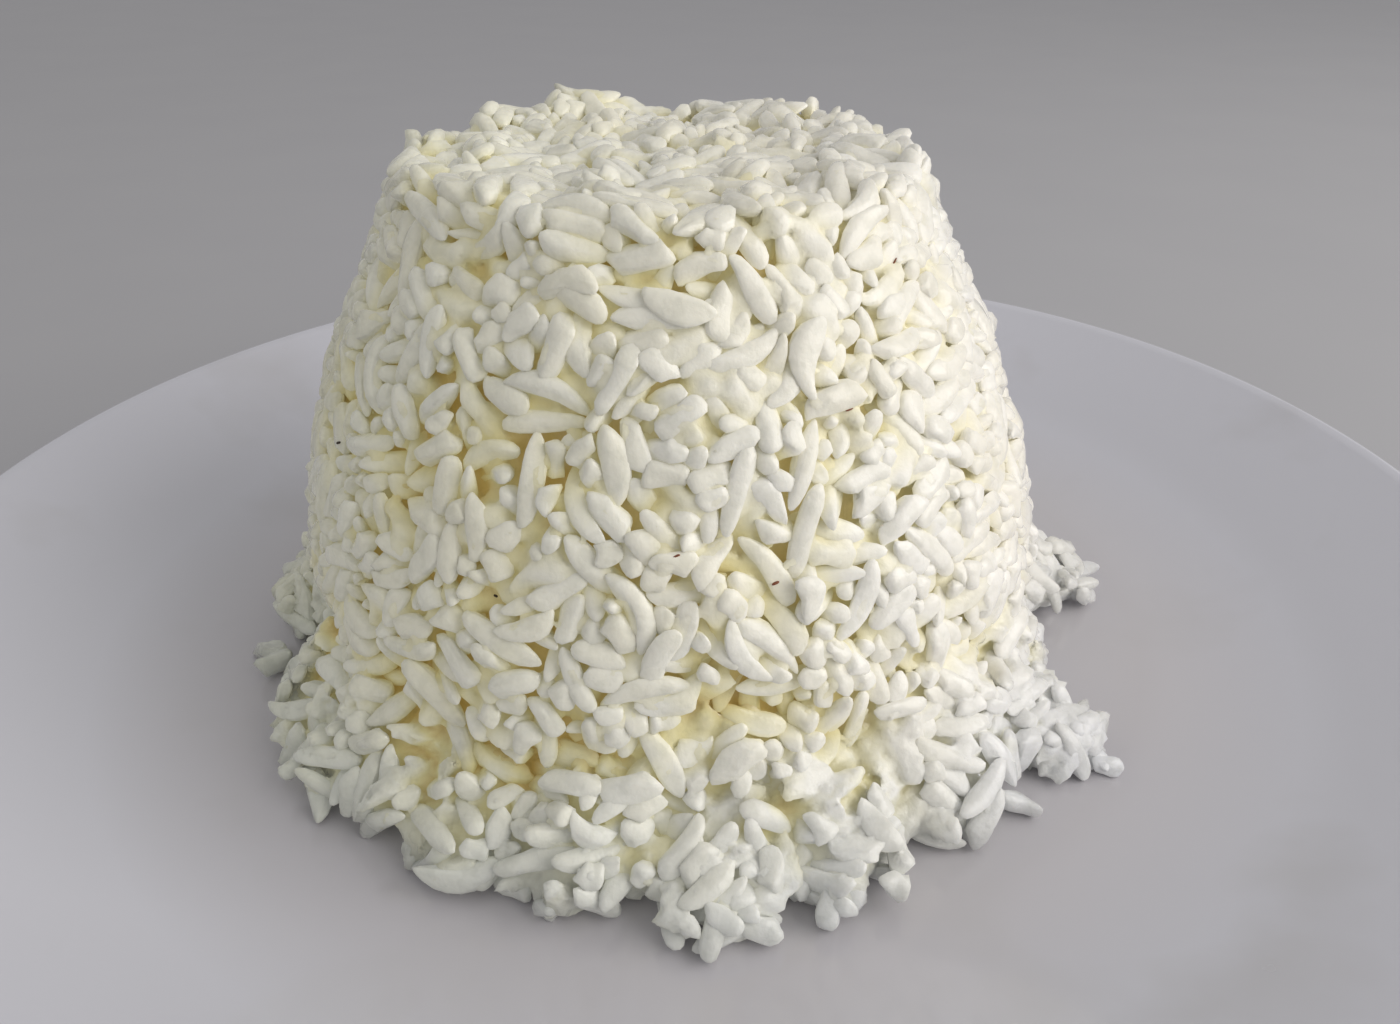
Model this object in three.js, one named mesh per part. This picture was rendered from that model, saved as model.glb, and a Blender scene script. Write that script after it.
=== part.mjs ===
// A moulded mound of steamed white rice on a round white plate.
//
// Two solids: the glazed plate, turned as one profile, and the heap of rice. The heap is a block
// turned out of a small bowl, whose foot has slumped into a low skirt of loose clumps.
// Millimetres, +Z up, the origin on the plate's axis at the surface it stands on.
// The front of the heap faces -Y.

import * as THREE from "three";
import { mergeVertices } from "three/addons/utils/BufferGeometryUtils.js";

// Plate
const plateRadius = 105;
const rimHeight = 22; // top of the lip above the table
const wellHeight = 7; // eating surface above the table
const wellRadius = 65; // flat of the well
const wellThickness = 4.5;
const rimThickness = 3.4;
const slopeBlend = 20; // radial run of the curve from the well into the rim
const footRadius = 59; // outside of the foot ring
const footWidth = 3.6;
const footTaper = 1.2; // each side of the foot ring widens by this towards the body
const footToRim = 1.5; // from the foot ring to where the underside starts to rise

const plateSegments = 96;
const undersideSteps = 7;
const lipSteps = 6; // even, so that the lip has a point at its widest
const rimSteps = 9;

// Block of rice, as the bowl left it
const blockCentre = [-3, -3]; // off the plate's axis
const blockHeight = 65.5;
const blockBaseRadius = 49.4;
const blockTopRadius = 31.5; // where the shoulder starts to round over
const wallCurve = 1.95; // 1 is a straight cone, more is a fuller bowl
const shoulderRadius = 4.8;
const topHollow = 0.9; // the middle of the top lies this much low
const topWave = 0.7; // the top's edge rises and falls by this, twice round
const topWavePhase = 0.6;
const topBlend = 1; // over this height the wall's relief gives way to the top's

// Skirt of loose clumps round the foot of the block
const skirtReach = 54.6; // mean radius where the loose rice ends
const skirtHeight = 17.5; // where the wall of the block comes out whole
const skirtLipHeight = 3.2; // height of the skirt's widest point
const skirtCurl = 1.6; // the loose rice curls under by this at its edge
const restGap = 0.3; // clear of the glaze

const clumpBluntness = 4; // 2 is a round hill, more is a blunt end

// The clumps that stand out of the skirt: bearing in degrees from +X, how far past skirtReach
// they lie, half their width in degrees, and the height that they fade out at.
const clumps = [
  { bearing: -158, reach: 3.4, spread: 8, top: 8 },
  { bearing: -136, reach: 1.2, spread: 10, top: 13 },
  { bearing: -116, reach: 1.6, spread: 9, top: 15 },
  { bearing: -99, reach: 1.8, spread: 8, top: 12 },
  { bearing: -83, reach: 6.0, spread: 7, top: 8 },
  { bearing: -70, reach: 4.6, spread: 6, top: 14 },
  { bearing: -49, reach: 3.6, spread: 8, top: 15 },
  { bearing: -34, reach: 7.4, spread: 6, top: 8 },
  { bearing: -19, reach: 1.4, spread: 7, top: 13 },
  { bearing: 4, reach: 6.6, spread: 8, top: 9 },
  { bearing: 38, reach: 2.2, spread: 11, top: 10 },
  { bearing: 74, reach: 3.4, spread: 9, top: 9 },
  { bearing: 112, reach: 2.0, spread: 10, top: 11 },
  { bearing: 150, reach: 3.0, spread: 9, top: 8 },
];

// Long waves in the packed wall: times round the heap, radians of drift for each millimetre of
// height, phase, and size in millimetres.
const wallWaves = [
  { turns: 3, drift: 0.09, phase: 0, size: 0.22 },
  { turns: 5, drift: -0.14, phase: 1, size: 0.15 },
  { turns: 11, drift: 0.33, phase: 2, size: 0.12 },
  { turns: 17, drift: -0.43, phase: 0, size: 0.12 },
];

// Shorter waves that only the loose skirt has, fading out above it.
const skirtWaves = [
  { turns: 13, drift: 0.3, phase: 2, size: 0.5 },
  { turns: 19, drift: -0.4, phase: 0, size: 0.4 },
];

const heapSegments = 96;
const wallSteps = 10;
const skirtSteps = 3;
const shoulderSteps = 3;
const topSteps = 4;

const degree = Math.PI / 180;
const onAxis = 1e-3; // closer to the axis than this is on it
const sameSpot = 1e-3; // vertices closer than this are one
const lerp = (a, b, t) => a + (b - a) * t;
const smoothstep = (t) => THREE.MathUtils.smoothstep(t, 0, 1);

// Height of the eating surface at a radius: flat, then a soft curve into a straight slope.
function plateTop(radius) {
  const run = plateRadius - rimThickness / 2 - wellRadius;
  const slope = (rimHeight - wellHeight) / (run - slopeBlend / 2);
  const past = Math.max(0, radius - wellRadius);
  const inBlend = Math.min(past, slopeBlend);
  return wellHeight + slope * ((inBlend * inBlend) / (2 * slopeBlend) + (past - inBlend));
}

// The turned profile, from the axis under the plate out to the lip and back to the axis on top.
function plateProfile() {
  const points = [];
  const add = (radius, z) => points.push(new THREE.Vector2(radius, z));
  const underside = wellHeight - wellThickness;
  const footInside = footRadius - footWidth;
  add(0, underside);
  add(footInside - footTaper, underside);
  add(footInside, 0);
  add(footRadius, 0);
  add(footRadius + footTaper, underside);

  const lip = rimThickness / 2;
  const lipCentre = plateRadius - lip;
  const riseStart = footRadius + footTaper + footToRim;
  for (let i = 0; i <= undersideSteps; i++) {
    const t = i / undersideSteps;
    const radius = lerp(riseStart, lipCentre, t);
    add(radius, plateTop(radius) - lerp(wellThickness, rimThickness, t));
  }

  const lipZ = plateTop(lipCentre) - lip;
  for (let i = 1; i < lipSteps; i++) {
    const angle = (-90 + (180 * i) / lipSteps) * degree;
    add(lipCentre + lip * Math.cos(angle), lipZ + lip * Math.sin(angle));
  }

  for (let i = 0; i <= rimSteps; i++) {
    const radius = lerp(lipCentre, wellRadius, i / rimSteps);
    add(radius, plateTop(radius));
  }
  add(0, wellHeight);
  return points;
}

// Radius of the bowl-shaped wall at a height above the well.
function wallRadius(height) {
  const share = height / (blockHeight - shoulderRadius);
  return blockBaseRadius - (blockBaseRadius - blockTopRadius) * share ** wallCurve;
}

// The heap's mean profile, from the axis at the foot, out over the skirt, up the wall and back
// to the axis on top. The second number is the height above the well.
function heapProfile() {
  const points = [];
  const add = (radius, height) => points.push(new THREE.Vector2(radius, height));
  const footReach = skirtReach - skirtCurl;
  add(0, restGap);
  add(footReach / 2, restGap);
  add(footReach, restGap);
  add(skirtReach, skirtLipHeight);

  for (let i = 1; i <= skirtSteps; i++) {
    const t = i / (skirtSteps + 1);
    const height = lerp(skirtLipHeight, skirtHeight, t);
    add(lerp(skirtReach, wallRadius(skirtHeight), smoothstep(t)), height);
  }

  const shoulderStart = blockHeight - shoulderRadius;
  for (let i = 0; i <= wallSteps; i++) {
    const height = lerp(skirtHeight, shoulderStart, i / wallSteps);
    add(wallRadius(height), height);
  }

  const shoulderCentre = blockTopRadius - shoulderRadius;
  for (let i = 1; i <= shoulderSteps; i++) {
    const angle = (90 * i * degree) / shoulderSteps;
    const radius = shoulderCentre + shoulderRadius * Math.cos(angle);
    add(radius, shoulderStart + shoulderRadius * Math.sin(angle));
  }
  for (let i = 1; i <= topSteps; i++) {
    add(shoulderCentre * (1 - i / topSteps), blockHeight);
  }
  return points;
}

// How far the clumps push the skirt out at a bearing and height. Each has a blunt end.
function clumpPush(bearing, height) {
  let push = 0;
  for (const clump of clumps) {
    const off = THREE.MathUtils.euclideanModulo(bearing - clump.bearing + 180, 360) - 180;
    const across = Math.exp(-((off / clump.spread) ** clumpBluntness));
    const up = 1 - smoothstep(height / clump.top);
    push = Math.max(push, clump.reach * across * up);
  }
  return push;
}

function sumOfWaves(waves, bearing, height) {
  const waveAt = (w) => w.size * Math.sin(w.turns * bearing * degree + w.drift * height + w.phase);
  return waves.reduce((sum, wave) => sum + waveAt(wave), 0);
}

// How far the wall stands out or in at a bearing and height.
function wallPush(bearing, height) {
  const loose = 1 - smoothstep((height - skirtLipHeight) / skirtHeight);
  const skirt = clumpPush(bearing, height) + loose * sumOfWaves(skirtWaves, bearing, height);
  return sumOfWaves(wallWaves, bearing, height) + skirt;
}

// Moves each vertex of the turned heap out or in, and lays the top a little hollow and wavy.
function roughen(geometry) {
  const position = geometry.getAttribute("position");
  for (let i = 0; i < position.count; i++) {
    const x = position.getX(i);
    const y = position.getY(i);
    const height = position.getZ(i);
    const radius = Math.hypot(x, y);
    const share = radius / blockTopRadius;
    const bearing = Math.atan2(y, x) / degree;
    const onTop = smoothstep(1 - (blockHeight - height) / topBlend);

    const wave = topWave * Math.sin(2 * bearing * degree + topWavePhase) * share ** 2;
    const hollow = topHollow * (1 - share ** 2);
    position.setZ(i, height + onTop * (wave - hollow));
    if (radius < onAxis) continue;

    const push = wallPush(bearing, height) * Math.min(1, share) * (1 - onTop);
    position.setX(i, x * (1 + push / radius));
    position.setY(i, y * (1 + push / radius));
  }
  return geometry;
}

// A closed solid turned about +Z from a profile of (radius, z) points.
function turned(points, segments) {
  const geometry = new THREE.LatheGeometry(points, segments);
  geometry.rotateX(Math.PI / 2);
  geometry.deleteAttribute("uv");
  geometry.deleteAttribute("normal");
  return mergeVertices(geometry, sameSpot);
}

function makePlate() {
  const glaze = new THREE.MeshStandardMaterial({ color: 0xe6e4ea, roughness: 0.18, metalness: 0 });
  const plate = new THREE.Mesh(turned(plateProfile(), plateSegments), glaze);
  plate.name = "plate";
  return plate;
}

function makeRiceHeap() {
  const rice = new THREE.MeshStandardMaterial({ color: 0xf1efdf, roughness: 0.45, metalness: 0 });
  const heap = new THREE.Mesh(roughen(turned(heapProfile(), heapSegments)), rice);
  heap.name = "rice_heap";
  heap.position.set(blockCentre[0], blockCentre[1], wellHeight);
  return heap;
}

const riceOnPlate = new THREE.Group();
riceOnPlate.add(makePlate(), makeRiceHeap());

export default riceOnPlate;
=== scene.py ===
# A moulded mound of steamed white rice on its plate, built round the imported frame.
import math
import bpy
import numpy as np
from mathutils import Euler, Matrix, Vector
from mathutils.bvhtree import BVHTree


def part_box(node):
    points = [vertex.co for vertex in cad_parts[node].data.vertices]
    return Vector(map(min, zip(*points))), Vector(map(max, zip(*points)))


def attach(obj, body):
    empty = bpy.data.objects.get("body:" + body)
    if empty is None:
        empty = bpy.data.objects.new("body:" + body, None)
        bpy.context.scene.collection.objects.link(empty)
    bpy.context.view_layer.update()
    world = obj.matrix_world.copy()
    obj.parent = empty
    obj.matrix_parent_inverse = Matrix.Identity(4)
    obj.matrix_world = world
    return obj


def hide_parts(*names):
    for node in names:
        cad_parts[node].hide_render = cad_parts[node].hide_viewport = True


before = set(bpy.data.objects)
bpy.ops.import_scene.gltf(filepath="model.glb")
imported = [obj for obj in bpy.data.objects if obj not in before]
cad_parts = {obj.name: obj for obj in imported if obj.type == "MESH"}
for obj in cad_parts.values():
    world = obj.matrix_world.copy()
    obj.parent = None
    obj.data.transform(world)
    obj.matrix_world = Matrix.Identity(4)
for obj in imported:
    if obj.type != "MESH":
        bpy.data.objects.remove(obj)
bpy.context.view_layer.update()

mm = 0.001  # grain work is in millimetres, meshes in metres


camera = {
    "place": (0.0011, -0.1335, 0.0988),
    "down": 30.2,   # degrees below the horizon
    "roll": -0.61,  # degrees
    "lens": 28.3,
    "sensor": 36,   # width of its frame
    "near": 0.005,
}


def setCamera():
    data = bpy.data.cameras.new("camera")
    data.lens = camera["lens"]
    data.sensor_width = camera["sensor"]
    data.clip_start = camera["near"]
    eye = bpy.data.objects.new("camera", data)
    aim = Euler((math.radians(90 - camera["down"]), 0, 0)).to_matrix()
    turn = Matrix.Rotation(math.radians(camera["roll"]), 3, "Z")
    eye.matrix_world = Matrix.Translation(camera["place"]) @ (aim @ turn).to_4x4()
    bpy.context.scene.collection.objects.link(eye)
    bpy.context.scene.camera = eye


class Wire:  # one output socket, which can be used in sums
    def __init__(self, shader, socket):
        self.shader = shader
        self.socket = socket

    def maths(self, operation, first, second):
        return self.shader.node("ShaderNodeMath", {"operation": operation}, {0: first, 1: second})

    def __add__(self, other):
        return self.maths("ADD", self, other)

    def __sub__(self, other):
        return self.maths("SUBTRACT", self, other)

    def __rsub__(self, other):
        return self.maths("SUBTRACT", other, self)

    def __mul__(self, other):
        return self.maths("MULTIPLY", self, other)

    def __truediv__(self, other):
        return self.maths("DIVIDE", self, other)

    __radd__ = __add__
    __rmul__ = __mul__


class Shader:  # a node material, built one node at a time
    def __init__(self, name, **fixed):
        self.material = bpy.data.materials.new(name)
        self.material.use_nodes = True
        self.material.cycles.emission_sampling = "NONE"
        self.tree = self.material.node_tree
        self.surface = self.tree.nodes["Principled BSDF"]
        for socket, value in fixed.items():
            self.surface.inputs[socket.replace("_", " ")].default_value = value

    def node(self, kind, settings=None, sockets=None, out=0):
        made = self.tree.nodes.new(kind)
        for name, value in (settings or {}).items():
            if name == "stops":
                self.setStops(made.color_ramp, value)
            else:
                setattr(made, name, value)
        for key, value in (sockets or {}).items():
            self.feed(made.inputs[key], value)
        return Wire(self, made.outputs[out])

    def feed(self, socket, value):
        if isinstance(value, Wire):
            self.tree.links.new(value.socket, socket)
        else:
            socket.default_value = value

    def setStops(self, ramp, stops):
        while len(ramp.elements) < len(stops):
            ramp.elements.new(0.5)
        for element, (place, colour) in zip(ramp.elements, stops):
            element.position = place
            element.color = (*colour, 1)

    def place(self, axis=None):  # where a point is, or one axis of it
        spot = self.node("ShaderNodeTexCoord", out="Object")
        if axis is None:
            return spot
        return self.node("ShaderNodeSeparateXYZ", {}, {0: spot}, out=axis)

    def noise(self, size, detail=2, seed=0.0):  # size is the width of a feature in metres
        sockets = {"Vector": self.place(), "Scale": 1 / size, "Detail": detail, "W": seed}
        return self.node("ShaderNodeTexNoise", {"noise_dimensions": "4D"}, sockets, out="Fac")

    def attribute(self, name):
        return self.node("ShaderNodeAttribute", {"attribute_name": name}, out="Fac")

    def mixColours(self, share, first, second, blend="MIX"):
        settings = {"data_type": "RGBA", "blend_type": blend}
        return self.node("ShaderNodeMix", settings, {0: share, 6: first, 7: second}, out=2)

    def colours(self, value, stops):
        return self.node("ShaderNodeValToRGB", {"stops": stops}, {0: value}, out="Color")

    def ramp(self, value, low, high):  # 0 below low, 1 above high
        sockets = {"Value": value, "From Min": low, "From Max": high}
        return self.node("ShaderNodeMapRange", {"clamp": True}, sockets)

    def patches(self, size, low, high, detail, seed):
        return self.ramp(self.noise(size, detail, seed), low, high)

    def bump(self, height, reach, strength):
        sockets = {"Height": height, "Distance": reach, "Strength": strength}
        return self.node("ShaderNodeBump", {}, sockets)

    def finish(self, **varying):
        for socket, value in varying.items():
            self.feed(self.surface.inputs[socket.replace("_", " ")], value)
        return self.material


glaze = {
    "colour": (0.545, 0.53, 0.555, 1),
    # painted reflection and painted light: the rim is painted lighter and bluer than the well
    "paintedRimLight": (0.64, 0.645, 0.705, 1),
    "rimStarts": (0.062, 0.080),
    "smearColour": (0.50, 0.49, 0.495, 1),  # where starchy water has dried
    "smearShare": 0.35,
    "smears": (0.022, 0.56, 0.74, 3, 1.3),  # patches: width, edges, detail and seed
    "fineSmearSize": 0.0035,
    "clayColour": (0.55, 0.52, 0.47, 1),    # bare clay under the foot ring
    "roughness": 0.16,
    "smearRoughness": 0.36,
    "clayRoughness": 0.66,
    "footHeight": 0.0005,
    "waveSize": 0.03,                       # a glaze is never quite flat
    "waveHeight": 0.0006,
    "waveStrength": 0.25,
}


def glazeMaterial():
    shader = Shader("plateGlaze", IOR=1.5, Coat_Weight=0.5, Coat_Roughness=0.06)
    smear = shader.patches(*glaze["smears"])
    fine = shader.noise(glaze["fineSmearSize"], 2, 4.1)
    bare = 1 - shader.ramp(shader.place("Z"), glaze["footHeight"], glaze["footHeight"] * 2)
    start, full = glaze["rimStarts"]
    squared = shader.place("X") * shader.place("X") + shader.place("Y") * shader.place("Y")
    rim = shader.ramp(squared, start ** 2, full ** 2)
    # painted reflection and painted light: from rimStarts outwards the glaze is painted lighter
    # and bluer
    colour = shader.mixColours(rim, glaze["colour"], glaze["paintedRimLight"])
    colour = shader.mixColours(smear * glaze["smearShare"], colour, glaze["smearColour"])
    colour = shader.mixColours(bare, colour, glaze["clayColour"])
    rough = glaze["roughness"] + smear * fine * (glaze["smearRoughness"] - glaze["roughness"])
    rough = rough + bare * (glaze["clayRoughness"] - glaze["roughness"])
    swell = shader.noise(glaze["waveSize"], 1, 7.7)
    normal = shader.bump(swell, glaze["waveHeight"], glaze["waveStrength"])
    return shader.finish(Base_Color=colour, Roughness=rough, Normal=normal)


cookedRice = {
    "gapShadeAndGlow": [                         # mm below the outside of the heap, colour, glow; deeper rice is painted darker and yellower as painted shade in the gaps, and the glow is a painted glow of light soaking through
        (0.35, (0.92, 0.92, 0.905), 0.02),
        (1.1, (0.865, 0.845, 0.70), 0.06),
        (2.1, (0.72, 0.655, 0.35), 0.12),
        (3.4, (0.58, 0.42, 0.12), 0.14),
    ],
    "deepest": 5.0,
    "blotchSize": 0.004,              # how uneven the depth is
    "blotchShare": 0.16,
    "sunReach": 0.55,                 # share of the depth, and with it the painted gap shade, undone on the sunny side, as painted light
    "sunEdges": (-0.05, 0.045),       # where that side starts and is full
    "bedDepth": 0.8,                  # mm that the bed counts as deeper than the grains, so it takes more painted shade
    "skirtDepth": -1.3,               # and that the loose skirt counts as shallower, so it takes less painted shade
    "chalk": (0.80, 0.78, 0.68, 1),   # some grains are duller than others
    "chalkShare": 0.35,
    "clear": (0.86, 0.865, 0.85, 1),  # where a grain is more see-through
    "clearShare": 0.6,
    "clearPatches": (0.0016, 0.46, 0.62, 2, 8.8),
    "shade": (0.96, 0.96, 0.81, 1),   # left to right, the light that has come through
    "sun": (1.0, 0.982, 0.96, 1),
    "paintedLowShade": (0.83, 0.86, 0.92, 1),    # painted shade: the rice low down is painted darker and cooler, where less light reaches it
    "paintedLowShadeHeight": (0.009, 0.025),
    "patch": (1.0, 0.975, 0.90, 1),   # starch that has gathered in patches
    "patchShare": 0.5,
    "patches": (0.016, 0.42, 0.66, 2, 3.3),
    "evenness": 0.45,                 # share of the heap's own direction in each normal
    "bedEvenness": 0.6,
    "roughness": 0.33,
    "wetRoughness": 0.17,
    "wetCoat": 0.5,
    "wetPatches": (0.006, 0.42, 0.66, 1, 9.4),
    "skinSize": 0.0011,               # the skin's small bumps, and finer ones in them
    "fineSkinSize": 0.0004,
    "fineSkinShare": 0.35,
    "skinHeight": 0.00016,
    "skinStrength": 0.6,
}


def riceMaterial():
    shader = Shader("cookedRice", IOR=1.42, Subsurface_Weight=0.15, Subsurface_Scale=0.001,
                    Emission_Strength=1.0)
    shader.surface.inputs["Subsurface Radius"].default_value = (1.0, 0.93, 0.80)
    # painted light: toward the sunny side the gaps are painted lighter
    side = shader.ramp(shader.place("X"), *cookedRice["sunEdges"])
    depth = shader.attribute("depth") / cookedRice["deepest"] * (1 - side * cookedRice["sunReach"])
    blotch = shader.noise(cookedRice["blotchSize"], 2, 2.2) - 0.5
    depth = depth + blotch * cookedRice["blotchShare"]
    # painted shade: the deeper a point lies, the darker and yellower it is painted; the emission
    # is a painted glow, not a lamp
    gapShadeAndGlow = cookedRice["gapShadeAndGlow"]
    colour = shader.colours(depth, [(deep / cookedRice["deepest"], hue) for deep, hue, _ in gapShadeAndGlow])
    glow = shader.colours(depth, [(deep / cookedRice["deepest"], [part * soaked for part in hue])
                                  for deep, hue, soaked in gapShadeAndGlow])
    dull = shader.attribute("tint") * cookedRice["chalkShare"]
    colour = shader.mixColours(dull, colour, cookedRice["chalk"])
    cloud = shader.patches(*cookedRice["clearPatches"]) * cookedRice["clearShare"]
    colour = shader.mixColours(cloud, colour, cookedRice["clear"], "MULTIPLY")
    # painted shade: below these heights the rice is painted darker and cooler
    low = 1 - shader.ramp(shader.place("Z"), *cookedRice["paintedLowShadeHeight"])
    colour = shader.mixColours(low, colour, cookedRice["paintedLowShade"], "MULTIPLY")
    # painted shade on the left and painted sunlight on the right, multiplied into the colour
    paintedSideLight = shader.mixColours(side, cookedRice["shade"], cookedRice["sun"])
    colour = shader.mixColours(1.0, colour, paintedSideLight, "MULTIPLY")
    starch = shader.patches(*cookedRice["patches"]) * cookedRice["patchShare"]
    colour = shader.mixColours(starch, colour, cookedRice["patch"], "MULTIPLY")
    wet = shader.patches(*cookedRice["wetPatches"])
    rough = cookedRice["roughness"] + wet * (cookedRice["wetRoughness"] - cookedRice["roughness"])
    fineSkin = shader.noise(cookedRice["fineSkinSize"], 2, 6.1) * cookedRice["fineSkinShare"]
    skin = shader.noise(cookedRice["skinSize"], 3, 5.5) + fineSkin
    normal = shader.bump(skin, cookedRice["skinHeight"], cookedRice["skinStrength"])
    coat = wet * cookedRice["wetCoat"]
    return shader.finish(Base_Color=colour, Roughness=rough, Coat_Weight=coat,
                         Emission_Color=glow, Normal=normal)


def fillMesh(mesh, points, triangles):  # the quick way in, for many small faces
    mesh.vertices.add(len(points))
    mesh.vertices.foreach_set("co", np.asarray(points, np.float32).ravel())
    mesh.loops.add(triangles.size)
    mesh.loops.foreach_set("vertex_index", triangles.astype(np.int32).ravel())
    mesh.polygons.add(len(triangles))
    mesh.polygons.foreach_set("loop_start", np.arange(0, triangles.size, 3, dtype=np.int32))
    mesh.update(calc_edges=True)
    mesh.validate()                     # thinning can leave a face twice


def addPiece(name, mesh, material, node):
    mesh.shade_smooth()
    mesh.materials.append(material)
    piece = bpy.data.objects.new(name, mesh)
    bpy.context.scene.collection.objects.link(piece)
    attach(piece, "root")
    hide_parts(node)
    return piece


plate = {
    "wellHeight": 0.007,
    "wellRadius": 0.065,
    "wellThickness": 0.0045,
    "rimThickness": 0.0034,
    "slopeBlend": 0.020,
    "footRadius": 0.059,
    "footWidth": 0.0036,
    "footTaper": 0.0012,
    "footEdge": 0.0005,
    "fillet": (0.002, 0.0015),  # inside and outside the foot ring
    "slopeSteps": 24,
    "lipSteps": 10,
    "topSteps": 32,
    "segments": 256,
}


def plateTop(radius, rimRadius, rimHeight):
    run = rimRadius - plate["rimThickness"] / 2 - plate["wellRadius"]
    slope = (rimHeight - plate["wellHeight"]) / (run - plate["slopeBlend"] / 2)
    past = max(0, radius - plate["wellRadius"])
    blend = min(past, plate["slopeBlend"])
    return plate["wellHeight"] + slope * (blend * blend / (2 * plate["slopeBlend"]) + past - blend)


# the plate's outline as (radius, height), from its axis underneath to its axis on top
def plateProfile():
    low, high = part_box("plate")
    rimRadius = (high.x - low.x) / 2
    top = lambda radius: plateTop(radius, rimRadius, high.z)
    under = plate["wellHeight"] - plate["wellThickness"]
    edge, taper = plate["footEdge"], plate["footTaper"]
    inside = plate["footRadius"] - plate["footWidth"]
    inner, outer = plate["fillet"]
    line = [(0, under), (inside * 0.5, under), (inside - taper - inner, under)]
    line += [(inside - taper, under * 0.9), (inside - edge * 0.3, edge), (inside + edge, 0)]
    line += [(plate["footRadius"] - edge, 0), (plate["footRadius"] + edge * 0.3, edge)]
    line += [(plate["footRadius"] + taper, under * 0.9)]
    lip = plate["rimThickness"] / 2
    lipCentre = rimRadius - lip
    start = plate["footRadius"] + taper + outer
    for i in range(plate["slopeSteps"] + 1):
        t = i / plate["slopeSteps"]
        radius = start + (lipCentre - start) * t
        thick = plate["wellThickness"] * (1 - t) + plate["rimThickness"] * t
        line.append((radius, top(radius) - thick))
    for i in range(1, plate["lipSteps"]):
        angle = math.radians(180 * i / plate["lipSteps"] - 90)
        height = top(lipCentre) - lip + lip * math.sin(angle)
        line.append((lipCentre + lip * math.cos(angle), height))
    for i in range(plate["topSteps"] + 1):
        radius = lipCentre + (plate["wellRadius"] - lipCentre) * i / plate["topSteps"]
        line.append((radius, top(radius)))
    line += [(plate["wellRadius"] * share, plate["wellHeight"]) for share in (0.9, 0.6, 0.3, 0)]
    return line


def buildPlate():
    line = plateProfile()
    count = plate["segments"]
    points = [(0, 0, line[0][1])]
    for radius, height in line[1:-1]:
        for k in range(count):
            angle = 2 * math.pi * k / count
            points.append((radius * math.cos(angle), radius * math.sin(angle), height))
    points.append((0, 0, line[-1][1]))
    rings = len(line) - 2
    faces = [(0, 1 + (k + 1) % count, 1 + k) for k in range(count)]
    for r in range(rings - 1):
        for k in range(count):
            a, b = 1 + r * count + k, 1 + r * count + (k + 1) % count
            faces.append((a, b, b + count, a + count))
    last = 1 + (rings - 1) * count
    faces += [(len(points) - 1, last + k, last + (k + 1) % count) for k in range(count)]
    mesh = bpy.data.meshes.new("plate_body")
    mesh.from_pydata(points, [], faces)
    addPiece("plate_body", mesh, glazeMaterial(), "plate")


def unit(vectors):
    return vectors / np.maximum(np.linalg.norm(vectors, axis=1), 1e-9)[:, None]


def stepUp(values, low, high):  # 0 below low, 1 above high, smooth between
    t = np.clip((values - low) / (high - low), 0, 1)
    return t * t * (3 - 2 * t)


def waves(points, width, seed, count=7):  # smooth random hills, about -1 to 1
    rng = np.random.default_rng(seed)
    ways = rng.normal(size=(count, 3))
    ways *= (2 * math.pi / width / np.linalg.norm(ways, axis=1))[:, None]
    ways *= rng.uniform(0.6, 1.5, count)[:, None]
    phases = rng.uniform(0, 2 * math.pi, count)
    return np.sin(points @ ways.T + phases).sum(1) / math.sqrt(count) * 0.9


heap = {                    # mm
    "axis": (-3.0, -3.0),
    "foot": 49.4,           # radius of the moulded block at its foot
    "shoulder": 31.5,       # and where its shoulder starts
    "shoulderDrop": 4.8,    # below the top
    "fullness": 1.95,       # 1 is a straight cone
    "skirtHeight": 17.5,    # above the well
    "gridStep": 1.5,
    "margin": 7.5,
    "wallRoughness": 0.35,  # that the moulded wall rises and falls
    "wallWave": 9.0,        # from one rise to the next
    "topRoughness": 0.8,
    "topWave": 10.0,
    "skirtRoughness": 1.3,
    "skirtWave": 7.5,
    "slump": 1.3,           # that the loosest grains lie past the clumps
    "slumpHeight": 9.0,
    "pits": 34,             # small hollows where grains have come away
    "pitDepth": (0.8, 2.2),
    "pitRadius": (1.8, 3.2),
    "pitHeights": (20, 6),  # above the well, and below the top
    "creviceHeight": 1.9,   # half of it
    "creviceWander": 1.2,   # up and down along one
    "cleftWander": 1.5,     # degrees to either side, up along one
    "cleftWave": 2.6,
    "bottomSkip": 0.1,      # faces this near the underside don't count
    "seed": 11,
}

# the plainest hollows: bearing, height above the well, depth and half width
hollows = [
    (-104, 47.5, 3.2, 2.4),
    (-128, 42.5, 2.8, 2.2),
    (-115, 45.5, 2.4, 3.0),
    (-64, 41.7, 3.2, 2.2),
    (-74.5, 31.8, 2.8, 2.6),
    (-79, 35.2, 2.6, 2.2),
    (-103, 42.3, 2.0, 2.4),
    (-99, 62.5, 2.2, 3.2),
    (-87, 16.5, 3.2, 2.6),
]

# where the skirt has parted from the wall: bearing and half width in degrees, height above the
# well and depth
crevices = [
    (-150, 10, 15.0, 2.2),
    (-128, 7, 16.0, 2.0),
    (-109, 8, 12.3, 4.4),
    (-97, 6, 14.2, 4.0),
    (-78, 9, 19.0, 3.0),
    (-65, 6, 12.8, 2.8),
    (-40, 9, 17.0, 2.0),
    (20, 16, 16.0, 2.4),
    (75, 14, 18.0, 2.6),
    (130, 18, 15.5, 2.4),
]

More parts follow.
